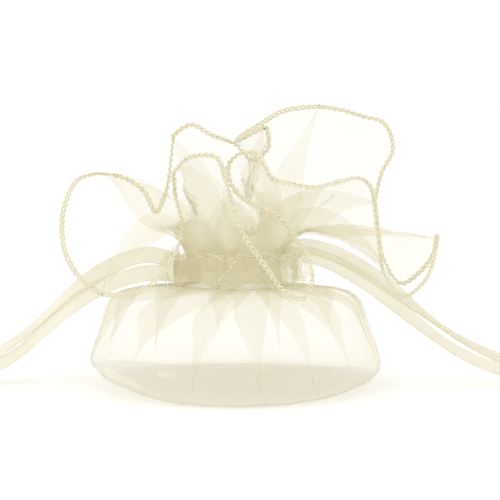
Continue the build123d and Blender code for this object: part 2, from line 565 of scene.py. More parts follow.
ORGANZA = SheerFinish("ivory_organza", "organza", (0.83, 0.79, 0.605), (0.77, 0.73, 0.52))
CASING_CLOTH = SheerFinish(
    "ivory_casing", "casing_cloth", (0.88, 0.845, 0.66), (0.83, 0.79, 0.58), clear=0.11, slant=0.30
)
EDGING_THREAD = ThreadFinish("cream_edging", "edging_thread", (0.82, 0.78, 0.60), (0.72, 0.675, 0.47), grain=3000.0)
SEWING_THREAD = ThreadFinish("pale_thread", "sewing_thread", (0.9, 0.88, 0.76), (0.8, 0.76, 0.6), grain=4000.0)
RIBBON = SheerFinish(
    "ivory_ribbon", "ribbon", (0.86, 0.825, 0.66), (0.81, 0.77, 0.58), clear=0.5, slant=0.8, threads=2400.0,
    weave_depth=0.18, roughness=0.5, selvedge=0.06,
)
PAPER = ThreadFinish("paper_band", "tie", (0.86, 0.84, 0.78), (0.8, 0.77, 0.69), roughness=0.8, grain=700.0)


# ---------------------------------------------------------------- camera, light and floor


@dataclass
class Studio:
    """The camera, the soft lights and the pale floor."""

    distance: float = 0.62
    elevation: float = 6.0
    view_width: float = 0.160
    aim_height: float = 0.0435
    sensor: float = 36.0

    def place_camera(self) -> None:
        """Put the camera in front of the pouch, a little above it."""
        data = bpy.data.cameras.new("camera")
        data.sensor_width = self.sensor
        data.lens = self.sensor * self.distance / self.view_width
        camera = bpy.data.objects.new("camera", data)
        tilt = math.radians(self.elevation)
        camera.location = (
            0,
            -self.distance * math.cos(tilt),
            self.aim_height + self.distance * math.sin(tilt),
        )
        camera.rotation_euler = (math.radians(90) - tilt, 0, 0)
        bpy.context.scene.collection.objects.link(camera)
        bpy.context.scene.camera = camera

    def light(self) -> None:
        """Hang an even white sky and two large soft lamps."""
        world = bpy.data.worlds.new("white_studio")
        world.use_nodes = True
        sky = world.node_tree.nodes["Background"]
        sky.inputs["Color"].default_value = (1, 1, 1, 1)
        sky.inputs["Strength"].default_value = 1.07
        bpy.context.scene.world = world
        bpy.context.scene.view_settings.view_transform = "Standard"
        for name, place, size, power in (
            ("key", (-0.5, -0.5, 0.9), 0.8, 1.1),
            ("fill", (0.7, -0.2, 0.7), 0.8, 0.5),
        ):
            data = bpy.data.lights.new(name, "AREA")
            data.size = size
            data.energy = power
            lamp = bpy.data.objects.new(name, data)
            lamp.visible_transmission = False
            lamp.visible_glossy = False
            lamp.location = place
            lamp.rotation_euler = (Vector((0, 0, 0.04)) - Vector(place)).to_track_quat("-Z", "Y").to_euler()
            bpy.context.scene.collection.objects.link(lamp)

    def lay_floor(self) -> None:
        """Lay a plain pale floor under the pouch."""
        clear_selection()
        bpy.ops.mesh.primitive_plane_add(size=6, location=(0, 0, 0))
        floor = bpy.context.object
        floor.name = "floor"
        settle(floor)
        material = bpy.data.materials.new("pale_floor")
        material.use_nodes = True
        shader = material.node_tree.nodes["Principled BSDF"]
        shader.inputs["Base Color"].default_value = (0.96, 0.96, 0.96, 1)
        shader.inputs["Roughness"].default_value = 0.9
        floor.data.materials.append(material)

    def build(self) -> None:
        """Set the whole studio up."""
        self.place_camera()
        self.light()
        self.lay_floor()
        bpy.context.scene.cycles.transparent_max_bounces = 64
        bpy.context.scene.cycles.max_bounces = 16
        bpy.context.scene.cycles.diffuse_bounces = 8
        bpy.context.scene.cycles.transmission_bounces = 16


# ---------------------------------------------------------------- ribbons


class Side(Enum):
    """Which side of the pouch a drawstring leaves by."""

    LEFT = -1
    RIGHT = 1


@dataclass
class Strand:
    """One free strand of a ribbon: from its mouth to its put-away turn."""

    name: str
    side: int
    offset: float
    route: tuple
    coil_x: float = 0.122
    coil_radius: float = 0.028
    coil_shift: float = 0.0
    turn: float = 330.0
    turn_points: int = 16
    width: float = 0.005
    thickness: float = 0.00028
    samples: int = 360
    upright_from: float = 0.085
    upright_over: float = 0.02
    twists: tuple = ()

    def route_points(self) -> list:
        """The whole route in metres: the listed points, then the turn on the floor.

        Returns:
            A list of points.
        """
        points = [(x * MM, self.offset * MM, z * MM) for x, z in self.route]
        radius = self.coil_radius + self.coil_shift
        height = points[-1][2]
        middle = (self.side * self.coil_x, self.coil_radius)
        steps = int(self.turn_points * self.turn / 360)
        for step in range(1, steps + 1):
            angle = math.radians(self.turn) * step / steps
            points.append(
                (
                    middle[0] + self.side * radius * math.sin(angle),
                    middle[1] - radius * math.cos(angle),
                    height,
                )
            )
        return points

    def centre_line(self) -> np.ndarray:
        """Points read along the route's smooth curve.

        Returns:
            An (n, 3) array in metres.
        """
        curve = bpy.data.curves.new(self.name + "_route", "CURVE")
        curve.dimensions = "3D"
        curve.resolution_u = 10
        spline = curve.splines.new("NURBS")
        route = self.route_points()
        spline.points.add(len(route) - 1)
        for place, point in zip(spline.points, route):
            place.co = (*point, 1)
        spline.order_u = 3
        spline.use_endpoint_u = True
        holder = bpy.data.objects.new(self.name + "_route", curve)
        bpy.context.scene.collection.objects.link(holder)
        bpy.context.view_layer.update()
        mesh = bpy.data.meshes.new_from_object(holder)
        line = np.array([tuple(v.co) for v in mesh.vertices])
        bpy.data.meshes.remove(mesh)
        bpy.data.objects.remove(holder)
        return line

    def build(self) -> bpy.types.Object:
        """Make the flat ribbon along its curve.

        Returns:
            The ribbon's mesh object, with its line kept in self.line.
        """
        self.line = self.centre_line()
        line = resample(self.line, self.samples)
        along = unit(np.gradient(line, axis=0))
        across = unit(np.cross(along, np.array((0.0, 1.0, 0.0))))
        flat = np.cross(np.array((0.0, 0.0, 1.0)), along)
        upright = unit(np.cross(along, unit(flat)))
        share = smooth_step((np.abs(line[:, 0]) - self.upright_from) / self.upright_over)[:, None]
        across = np.where(across[:, 2:] < 0, -across, across)
        upright = np.where(upright[:, 2:] < 0, -upright, upright)
        width_way = unit((1 - share) * across + share * upright)
        face_way = unit(np.cross(along, width_way))
        travelled = np.concatenate(([0], np.cumsum(np.linalg.norm(np.diff(line, axis=0), axis=1))))
        for start, middle, end, degrees in self.twists:
            rise = smooth_step((travelled - start) / (middle - start))
            fall = 1 - smooth_step((travelled - middle) / (end - middle))
            angle = np.radians(degrees) * np.minimum(rise, fall)
            turned = np.cos(angle)[:, None] * width_way + np.sin(angle)[:, None] * face_way
            width_way, face_way = turned, unit(np.cross(along, turned))
        lanes = np.array((-1, -0.94, -0.5, 0, 0.5, 0.94, 1)) * self.width / 2
        bow = np.array((0, 0.00008, 0.0002, 0.00026, 0.0002, 0.00008, 0)) * 1.5
        sheet = line[:, None] + lanes[None, :, None] * width_way[:, None] + bow[None, :, None] * face_way[:, None]
        count = len(lanes)
        piece = mesh_piece(self.name, sheet.reshape(-1, 3), grid_faces(count, len(line), False))
        set_flat(piece, np.stack(np.meshgrid(travelled, lanes, indexing="ij"), -1).reshape(-1, 2))
        choose(piece)
        thick = piece.modifiers.new("cloth", "SOLIDIFY")
        thick.thickness = self.thickness
        thick.offset = 0
        apply_modifiers(piece)
        RIBBON.dress(piece)
        return piece


LEFT_FRONT_ROUTE = (
    (-16.6, 34.9), (-25.0, 36.2), (-33.0, 36.4), (-41.0, 34.6), (-49.0, 31.2), (-57.0, 26.0),
    (-65.5, 18.6), (-75.0, 9.4), (-87.0, 3.8), (-101.0, 2.9), (-115.0, 2.9),
)
LEFT_BACK_ROUTE = (
    (-16.6, 34.9), (-21.5, 38.2), (-28.0, 41.4), (-35.0, 42.0), (-43.0, 39.2), (-51.0, 34.4),
    (-59.0, 28.2), (-67.0, 20.8), (-77.0, 12.4), (-90.0, 6.0), (-104.0, 2.9), (-117.0, 2.9),
)
RIGHT_FRONT_ROUTE = (
    (7.6, 40.6), (13.0, 42.2), (19.5, 42.2), (27.0, 39.4), (35.5, 34.6), (45.0, 27.6),
    (56.0, 18.2), (68.0, 9.8), (82.0, 4.2), (98.0, 2.9), (114.0, 2.9),
)
RIGHT_BACK_ROUTE = (
    (7.6, 40.6), (12.0, 43.8), (18.5, 44.8), (26.5, 42.6), (36.0, 37.8), (46.5, 30.4),
    (57.5, 21.4), (70.0, 13.0), (85.0, 6.4), (101.0, 2.9), (117.0, 2.9),
)


@dataclass
class Drawstring:
    """One side's drawstring: two strands, their turns held by a paper band, and the knot that joins them."""

    side: Side
    front_route: tuple
    back_route: tuple

    @property
    def label(self) -> str:
        """The side's plain name.

        Returns:
            left or right.
        """
        return "left" if self.side is Side.LEFT else "right"

    def build_knot(self) -> bpy.types.Object:
        """Tie the overhand knot that joins the strand ends.

        Returns:
            The knot.
        """
        low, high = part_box(f"{self.label}_knot")
        middle = (low + high) / 2
        size = high - low
        clear_selection()
        bpy.ops.mesh.primitive_torus_add(
            location=(middle.x, middle.y, middle.z),
            major_segments=36,
            minor_segments=14,
            major_radius=size.x * 0.29,
            minor_radius=size.x * 0.19,
        )
        knot = bpy.context.object
        knot.name = f"{self.label}_tied_knot"
        settle(knot)
        for vertex in knot.data.vertices:
            offset = vertex.co - middle
            swirl = math.atan2(offset.y, offset.x)
            offset.z = offset.z * 0.9 + 0.0006 * math.sin(2 * swirl)
            offset.x += 0.0004 * math.sin(5 * swirl + offset.z * 900)
            vertex.co = middle + offset
        crease = knot.modifiers.new("soft", "SUBSURF")
        crease.levels = 1
        crease.render_levels = 1
        apply_modifiers(knot)
        RIBBON.dress(knot)
        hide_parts(f"{self.label}_knot")
        return knot

    def build_tie(self) -> bpy.types.Object:
        """Wrap the narrow paper band round the turns.

        Returns:
            The band, open at both ends so that the strands run through it.
        """
        low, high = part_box(f"{self.label}_coil_tie")
        middle = (low + high) / 2
        half = (high - low) / 2
        around, rows = 40, 6
        points = []
        for row in range(rows):
            y = low.y + (high.y - low.y) * row / (rows - 1)
            for place in range(around):
                angle = math.tau * place / around
                sideways, up = math.cos(angle), math.sin(angle)
                points.append(
                    (
                        middle.x + half.x * math.copysign(math.sqrt(abs(sideways)), sideways),
                        y,
                        middle.z + half.z * math.copysign(math.sqrt(abs(up)), up),
                    )
                )
        band = mesh_piece(f"{self.label}_paper_tie", np.array(points), grid_faces(around, rows, True))
        choose(band)
        wall = band.modifiers.new("paper", "SOLIDIFY")
        wall.thickness = 0.0002
        wall.offset = 1
        apply_modifiers(band)
        PAPER.dress(band)
        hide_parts(f"{self.label}_coil_tie")
        return band

    def build(self) -> None:
        body = f"{self.label}_drawstring"
        knot = self.build_knot()
        band = self.build_tie()
        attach(knot, body)
        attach(band, body)
        for name, offset, route, shift in (
            ("front", -1.4, self.front_route, -0.0009),
            ("back", 1.4, self.back_route, 0.0009),
        ):
            turn = 48 if name == "front" else 68
            twists = ((0.028, 0.062, 0.118, turn),)
            strand = Strand(
                f"{self.label}_ribbon_{name}", self.side.value, offset, route, coil_shift=shift, twists=twists
            )
            ribbon = strand.build()
            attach(ribbon, body)
            nodes = [f"{self.label}_strand_{name}"]
            if name == "front":
                nodes.append(f"{self.label}_coil")
            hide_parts(*nodes)


# ---------------------------------------------------------------- the cloth circle


@dataclass(frozen=True)
class Lobe:
    """One stretch of the ruffle: where it leaves the neck and where its rim runs, in millimetres."""

    name: str
    neck_from: float
    rim: tuple


RUFFLE = (
    Lobe("left", 143, (
        (-31, 20, 54), (-36, 21, 62), (-43, 19, 66), (-48, 15, 67), (-53, 10, 67), (-57, 5, 64), (-59, 0, 58),
        (-60, -5, 49), (-58, -9, 43), (-55, -13, 38), (-49, -18, 33), (-45, -22, 32), (-40, -25, 32),
        (-35, -28, 33), (-30, -30, 36), (-27, -30, 39), (-24, -28, 43), (-22, -24, 48), (-21, -19, 53),
    )),
    Lobe("front left", 235, (
        (-22, -15, 58), (-24, -14, 64), (-24, -18, 68), (-22, -24, 72), (-18, -29, 75), (-14, -32, 76),
        (-10, -33, 75), (-8, -31, 71), (-7, -28, 66),
    )),
    Lobe("tongue", 262, (
        (-5, -26, 59), (-2, -28, 51), (4, -32, 43), (9, -36, 36), (14, -39, 33), (18, -40, 34), (19, -39, 37),
        (18, -36, 42), (17, -33, 46), (14, -30, 50), (10, -26, 55), (6, -23, 58), (0, -20, 60), (-3, -17, 62),
    )),
    Lobe("front right", 300, (
        (-6, -15, 66), (-7, -15, 71), (-4, -17, 75), (-1, -20, 76), (3, -23, 75), (5, -25, 71), (7, -27, 68),
        (12, -30, 67), (18, -33, 66), (24, -35, 67), (29, -35, 68), (32, -33, 69), (36, -29, 67), (38, -25, 62),
    )),
    Lobe("right", 338, (
        (39, -23, 55), (40, -22, 48), (41, -20, 40), (44, -17, 34), (48, -13, 30), (52, -7, 31), (57, 0, 35),
        (60, 7, 42), (61, 13, 47), (60, 18, 39), (55, 20, 33), (51, 22, 30), (47, 25, 32), (44, 27, 41),
        (42, 28, 51), (42, 29, 59),
    )),
    Lobe("back right", 392, (
        (44, 31, 66), (48, 34, 74), (48, 35, 78), (46, 36, 82), (41, 37, 84), (34, 38, 86), (27, 38, 88),
        (19, 37, 88), (12, 34, 87), (7, 29, 85), (1, 25, 81), (-5, 22, 78), (-5, 19, 77), (0, 19, 80), (6, 21, 82),
    )),
    Lobe("back left", 440, (
        (7, 21, 80), (6, 19, 75), (4, 18, 71), (1, 18, 71), (-1, 19, 73), (-6, 22, 77), (-12, 24, 79),
        (-17, 25, 80), (-20, 26, 83), (-23, 26, 83), (-25, 26, 80), (-26, 25, 74), (-27, 23, 64), (-29, 21, 57),
    )),
)


@dataclass(frozen=True)
class Pleat:
    """One pleat of the bag's side: its share round the cloth, where its tip starts and which way it lies."""

    share: float
    tip: float
    turned: bool


PLEATS = (
    Pleat(0.080, 0.10, False),
    Pleat(0.100, 0.00, True),
    Pleat(0.095, 0.30, True),
    Pleat(0.070, 0.02, False),
    Pleat(0.075, 0.02, True),
    Pleat(0.050, 0.04, False),
    Pleat(0.065, 0.18, False),
    Pleat(0.065, 0.02, True),
    Pleat(0.080, 0.12, False),
    Pleat(0.090, 0.30, True),
    Pleat(0.070, 0.05, False),
    Pleat(0.080, 0.20, True),
    Pleat(0.080, 0.06, False),
)


@dataclass
class ClothCircle:
    """The pouch's one circle of organza: flat bottom, pleated side, gathered neck and open ruffle."""

    flat_radius: float = 0.160
    base_radius: float = 0.0428
    wall_length: float = 0.056
    neck_length: float = 0.012
    neck_middle: float = -0.0045
    neck_bottom: float = 0.032
    neck_top: float = 0.0435
    neck_half_length: float = 0.0155
    neck_half_depth: float = 0.0098
    nodes: int = 9
    neck_hold: float = 0.75
    table: int = 900
    base_rows: int = 7
    wall_rows: int = 24
    neck_rows: int = 4
    ruffle_rows: int = 30
    ruffle_length: float = 0.056
    flute_height: float = 0.0040
    seed: int = 11
    profile: tuple = (
        (42.8, 0.4), (45.6, 1.6), (46.9, 4.4), (45.6, 11.5), (43.2, 19.0),
        (40.8, 26.4), (38.0, 29.6), (32.0, 31.2), (24.0, 32.0), (17.0, 32.2),
    )
    front_profile: tuple = (
        (42.6, 0.4), (44.4, 2.0), (44.8, 5.5), (42.0, 11.5), (37.6, 17.5),
        (32.4, 22.5), (27.0, 26.4), (21.5, 29.4), (17.0, 31.4), (14.0, 32.2),
    )
    pleats: tuple = PLEATS

    def rim_table(self) -> tuple:
        """The rim as even points, with the neck angle each one belongs to.

        Returns:
            (points, neck angles in radians), both with one row for each entry of the table.
        """
        points = np.array([p for lobe in RUFFLE for p in lobe.rim], float) * MM
        curve = closed_curve(points, self.table)
        starts = np.cumsum([0] + [len(lobe.rim) for lobe in RUFFLE[:-1]])
        places = [int(np.argmin(np.linalg.norm(curve - points[start], axis=1))) for start in starts]
        places[0] = 0
        angles = [lobe.neck_from for lobe in RUFFLE] + [RUFFLE[0].neck_from + 360]
        neck = np.interp(np.arange(self.table), places + [self.table], angles)
        window = self.table // 10 | 1
        padded = np.concatenate((neck[-window:] - 360, neck, neck[:window] + 360))
        smoothed = np.convolve(padded, np.ones(window) / window, mode="same")[window:-window]
        return curve, np.radians(smoothed)

    def sample(self, row: np.ndarray, place: np.ndarray) -> np.ndarray:
        """Read points of an even closed row at shares of the way round it.

        Args:
            row: The even closed row.
            place: Shares of the way round it.

        Returns:
            One point for each share.
        """
        spot = np.mod(place, 1.0) * self.table
        low = np.floor(spot).astype(int) % self.table
        part = (spot - np.floor(spot))[:, None]
        return row[low] * (1 - part) + row[(low + 1) % self.table] * part

    def pleat_row(self, row: np.ndarray, flat_round: float, hold: float, level: float) -> tuple:
        """Fold one row of cloth into the pleats that its flat length asks for.

        Args:
            row: The even closed row.
            flat_round: The cloth's own length round the circle at this row.
            hold: Share of the spare cloth that the pleats take.
            level: Share of the way up the side of the bag, 1 above it.

        Returns:
            (share round the row, share round the flat circle, offset outward) for each column.
        """
        ring = float(np.linalg.norm(np.roll(row, -1, 0) - row, axis=1).sum())
        excess = max(flat_round / ring - 1, 0) * hold
        places, flats, lifts = [], [], []
        start = 0.0
        for pleat in self.pleats:
            size = pleat.share
            grown = excess * float(np.clip((level - pleat.tip) / (0.5 - pleat.tip), 0, 1)) if level < 0.5 else excess
            wide = 1 + grown
            depth = grown / 2
            fold_from = 0.5 - depth / wide / 2
            fold_to = 0.5 + depth / wide / 2
            half = max(fold_to - 0.5, 0.02)
            cut_a = 0.5 - half
            cut_b = 0.5 + half
            knots = np.interp(np.arange(3 * self.nodes), (0, self.nodes, 2 * self.nodes, 3 * self.nodes),
                              (0, cut_a, cut_b, 1))
            along = np.interp(knots, (0, fold_from, fold_to, 1),
                              (0, fold_from * wide, fold_from * wide - depth, 1))
            lift = np.interp(knots, (0, fold_from, fold_to, 1), (0, 1, -1, 0))
            if pleat.turned:
                knots, along, lift = self.mirror(knots, along, lift)
            places.append(start + along * size)
            flats.append(start + knots * size)
            lifts.append(lift * min(depth * size * ring * 0.06, 0.0011))
            start += size
        return np.concatenate(places), np.concatenate(flats), np.concatenate(lifts)

    @staticmethod
    def mirror(knots: np.ndarray, along: np.ndarray, lift: np.ndarray) -> tuple:
        """Turn a pleat to face the other way, keeping its first column first.

        Args:
            knots: The columns' shares of the flat pleat.
            along: Their shares of the folded pleat.
            lift: How far they stand out.

        Returns:
            The same three, turned.
        """
        knots = np.concatenate((knots, [1.0]))
        along = np.concatenate((along, [1.0]))
        lift = np.concatenate((lift, [0.0]))
        return (1 - knots)[::-1][:-1], (1 - along)[::-1][:-1], lift[::-1][:-1]

    @staticmethod
    def outline_point(outline: tuple, share: float) -> np.ndarray:
        """A point (reach, height) in metres at a share of the way along a side profile.

        Args:
            outline: The profile's points in millimetres.
            share: The share of the way along it.

        Returns:
            The point.
        """
        line = np.array(outline) * MM
        steps = np.concatenate(([0], np.cumsum(np.linalg.norm(np.diff(line, axis=0), axis=1))))
        place = min(share * 1.08, 1) * steps[-1]
        return np.array([np.interp(place, steps, line[:, 0]), np.interp(place, steps, line[:, 1])])

    @staticmethod
    def corner_lift(way: np.ndarray, share: float) -> np.ndarray:
        """How far the bottom's left and right corners are drawn up off the table.

        Args:
            way: Outward ways round the bottom.
            share: The share of the way out from its middle.

        Returns:
            The rise in metres for each way.
        """
        left = np.clip(-way[:, 0], 0, 1) ** 3 * 0.0056
        right = np.clip(way[:, 0], 0, 1) ** 3 * 0.0030
        return (left + right) * float(smooth_step(np.array((share - 0.45) / 0.55)))

    def neck_ring(self, angles: np.ndarray) -> tuple:
        """Even points on the neck's oval with their outward ways.

        Args:
            angles: One angle in radians for each entry of the table.

        Returns:
            (points without height, outward ways).
        """
        x = self.neck_middle + self.neck_half_length * np.cos(angles)
        y = self.neck_half_depth * np.sin(angles)
        zero = np.zeros_like(x)
        out = unit(np.stack((np.cos(angles) / self.neck_half_length, np.sin(angles) / self.neck_half_depth, zero), 1))
        return np.stack((x, y, zero), 1), out

    def even_rows(self) -> list:
        """Lay out the cloth's rows without pleats.

        Returns:
            One (row, outward ways, flat radius, pleat hold, flute height) for each row.
        """
        rim, neck_angle = self.rim_table()
        ring, out = self.neck_ring(neck_angle)
        rng = np.random.default_rng(self.seed + 1)
        even = np.linspace(0, 2 * math.pi, self.table, endpoint=False) + neck_angle[0]
        middle = np.array((self.neck_middle, 0, 0))
        up = np.array((0.0, 0.0, 1.0))
        wave = sum(rng.uniform(-1, 1) * np.sin(k * even + rng.uniform(0, 6.28)) / k**0.6 for k in (2, 3, 4, 6, 9, 12))
        rows = []
        edge_way = np.stack((np.cos(even), np.sin(even), np.zeros_like(even)), 1)
        for row in range(self.base_rows):
            share = (row + 0.2) / self.base_rows
            radius = self.base_radius * share * (1 + 0.008 * wave)
            point = middle + edge_way * radius[:, None] + up * (0.0003 + self.corner_lift(edge_way, share))[:, None]
            rows.append((point, edge_way, self.base_radius * share, 0, 0))
        top = ring + up * self.neck_bottom
        for row in range(self.wall_rows):
            t = row / self.wall_rows
            inner = float(smooth_step(np.array((t - 0.55) / 0.45)))
            turn = even * (1 - inner) + neck_angle * inner
            way = np.stack((np.cos(turn), np.sin(turn), np.zeros_like(turn)), 1)
            square = self.outline_point(self.profile, t)
            sloping = self.outline_point(self.front_profile, t)
            slope = (0.95 * np.clip(-way[:, 1], 0, 1) ** 1.1 + 0.5 * np.clip(way[:, 1], 0, 1) ** 1.5)[:, None]
            both = square * (1 - slope) + sloping * slope
            reach = both[:, 0] * (1 + 0.016 * wave * math.sin(math.pi * t))
            level = both[:, 1] * (1 + 0.045 * wave * smooth_step(np.array(t * 2)) * (1 - t))
            level = level + self.corner_lift(way, 1.0) * max(1 - 3.2 * t, 0)
            point = middle + way * reach[:, None] + up * level[:, None]
            close = float(smooth_step(np.array((t - 0.72) / 0.28)))
            point = point * (1 - close) + top * close
            hold = 1.3 * float(smooth_step(np.array(t / 0.12))) - 0.3 * t
            hold *= 1 - (1 - self.neck_hold) * float(smooth_step(np.array((t - 0.6) / 0.4)))
            rows.append((point, way, self.base_radius + self.wall_length * t, hold, 0.0))
        for row in range(self.neck_rows + 1):
            t = row / self.neck_rows
            waist = 1 - 0.1 * math.sin(math.pi * t)
            level = self.neck_bottom + (self.neck_top - self.neck_bottom) * t
            point = middle * (1 - waist) + ring * waist + up * level
            rows.append((point, out, self.base_radius + self.wall_length + self.neck_length * t, self.neck_hold, 0))
        start = rows[-1][0]
        begun = rows[-1][2]
        for row in range(1, self.ruffle_rows + 1):
            t = row / self.ruffle_rows
            point = self.ruffle_row(start, rim, out, t)
            hold = (1 - t) ** 1.1 * (self.neck_hold + (0.95 - self.neck_hold) * float(smooth_step(np.array(t / 0.3))))
            flute = math.sin(math.pi * min(t * 1.02, 1)) ** 0.8 * self.flute_height
            rows.append((point, out, begun + (self.flat_radius - begun) * t, hold, flute))
        return rows

    def ruffle_row(self, start: np.ndarray, rim: np.ndarray, out: np.ndarray, t: float) -> np.ndarray:
        """One even ring of the ruffle between the neck and the rim.

        Args:
            start: The neck's top ring.
            rim: The rim.
            out: Outward ways round the neck.
            t: 0 at the neck, 1 at the rim.

        Returns:
            The ring's points.
        """
        reach = np.linalg.norm(rim - start, axis=1)[:, None]
        slack = np.clip(self.ruffle_length - reach, 0, 0.03)
        up = np.array((0.0, 0.0, 1.0))
        low = start + (up * 0.85 + out * 0.3) * (reach * 0.33 + slack * 0.5)
        high = rim + (start - rim) * 0.22 + up * (slack * 0.35) + out * (slack * 0.2)
        s = 1 - t
        return start * s**3 + 3 * low * s * s * t + 3 * high * s * t * t + rim * t**3

    @staticmethod
    def gathers(turns: np.ndarray, level: float, lean: np.ndarray) -> np.ndarray:
        """Fine upright puckers, deepest at the neck.

        Args:
            turns: Radians round the flat circle for each column.
            level: 0 at the foot of the bag's side, 1 at the neck, more above it.
            lean: Random phases.

        Returns:
            How far each column stands out.
        """
        if level < 1:
            depth = float(smooth_step(np.array((level - 0.45) / 0.5)))
        else:
            depth = max(1 - (level - 1.2) / 0.55, 0) if level > 1.2 else 1.0
        first = np.sin(41 * turns + lean[0] + 2.0 * np.sin(5 * turns + lean[1]))
        second = np.sin(27 * turns + lean[2] + 1.6 * np.sin(7 * turns + lean[3]))
        return depth * (0.00045 * first + 0.00055 * second)

    def build_points(self) -> tuple:
        """Fold every row into its pleats.

        Returns:
            (points by row and column, flat circle coordinates by row and column).
        """
        lean = np.random.default_rng(self.seed).uniform(0, 6.28, 5)
        rows = self.even_rows()
        points, flats = [], []
        for row, out, radius, hold, flute in rows:
            level = (radius - self.base_radius) / self.wall_length
            place, flat, lift = self.pleat_row(row, 2 * math.pi * radius, hold, level)
            lift = lift + self.gathers(flat * 2 * math.pi, level, lean)
            point = self.sample(row, place) + self.sample(out, place) * lift[:, None]
            if flute > 0:
                along = self.sample(np.roll(row, -4, 0) - np.roll(row, 4, 0), place)
                rise = self.sample(row, place) - self.sample(rows[self.base_rows + self.wall_rows][0], place)
                normal = unit(np.cross(unit(along), unit(rise + np.array((0, 0, 1e-5)))))
                turns = flat * 2 * math.pi
                ripple = (
                    0.65 * np.sin(11 * turns + lean[0] + 1.2 * np.sin(3 * turns + lean[1]))
                    + 0.35 * np.sin(19 * turns + lean[2] + 1.5 * np.sin(4 * turns + lean[3]))
                )
                point = point + normal * (flute * ripple)[:, None]
            points.append(point)
            angle = flat * 2 * math.pi
            flats.append(np.stack((radius * np.cos(angle), radius * np.sin(angle)), 1))
        return np.array(points), np.array(flats)

    def build(self) -> bpy.types.Object:
        """Make the cloth as one sheet.

        Returns:
            The cloth's mesh object. self.rim holds the finished rim's points.
        """
        points, flats = self.build_points()
        row_count, columns = points.shape[:2]
        centre = row_count * columns
        faces = grid_faces(columns, row_count, True)
        faces += [(centre, (c + 1) % columns, c) for c in range(columns)]
        middle = np.array([[self.neck_middle, 0, 0.0003]])
        piece = mesh_piece("organza_circle", np.concatenate((points.reshape(-1, 3), middle)), faces)
        set_flat(piece, np.concatenate((flats.reshape(-1, 2), [[0.0, 0.0]])))
        for edge in piece.data.edges:
            first, second = edge.vertices
            place = first % columns % (3 * self.nodes)
            if abs(first - second) == columns and place in (self.nodes, 2 * self.nodes):
                edge.use_edge_sharp = True
        self.rim = points[-1]
        self.below_rim = points[-2]
        ORGANZA.dress(piece)
        return piece


@dataclass
class RimEdging:
    """The crocheted thread edging that follows the ruffle's rim."""

    strand_radius: float = 0.00034
    swing: float = 0.00056
    pitch: float = 0.0040
    strands: int = 2
    samples_per_pitch: int = 16

    def build(self, rim: np.ndarray, below: np.ndarray) -> bpy.types.Object:
        """Braid the threads along the rim.

        Args:
            rim: The rim's points, closed.
            below: The cloth's next ring of points, which gives its plane.

        Returns:
            The edging's mesh object.
        """
        loop = np.concatenate((rim, rim[:1]))
        length = float(np.linalg.norm(np.diff(loop, axis=0), axis=1).sum())
        turns = round(length / self.pitch)
        count = turns * self.samples_per_pitch
        line = closed_curve(rim[::3], count)
        travelled = np.cumsum(np.linalg.norm(np.diff(loop, axis=0), axis=1)) / length
        index = np.clip(np.searchsorted(travelled, np.arange(count) / count), 0, len(rim) - 1)
        inward = unit(below[index] - rim[index])
        kernel = np.ones(25) / 25
        inward = np.stack(
            [np.convolve(np.concatenate((inward[-12:, k], inward[:, k], inward[:12, k])), kernel, "valid")[:count]
             for k in range(3)], 1)
        along = unit(np.roll(line, -1, 0) - np.roll(line, 1, 0))
        inward = unit(inward - along * (inward * along).sum(1, keepdims=True))
        face = np.cross(along, inward)
        phase = np.arange(count) * 2 * math.pi / self.samples_per_pitch
        pieces = []
        for strand in range(self.strands):
            start = 2 * math.pi * strand / self.strands
            side = self.swing * np.sin(phase + start)
            depth = 0.45 * self.swing * np.sin(2 * (phase + start))
            path = line + inward * side[:, None] + face * depth[:, None]
            pieces.append(tube_mesh(f"edging_{strand}", path, self.strand_radius, 6, True))
        edging = join_pieces(pieces, "crocheted_edging")
        EDGING_THREAD.dress(edging)
        return edging


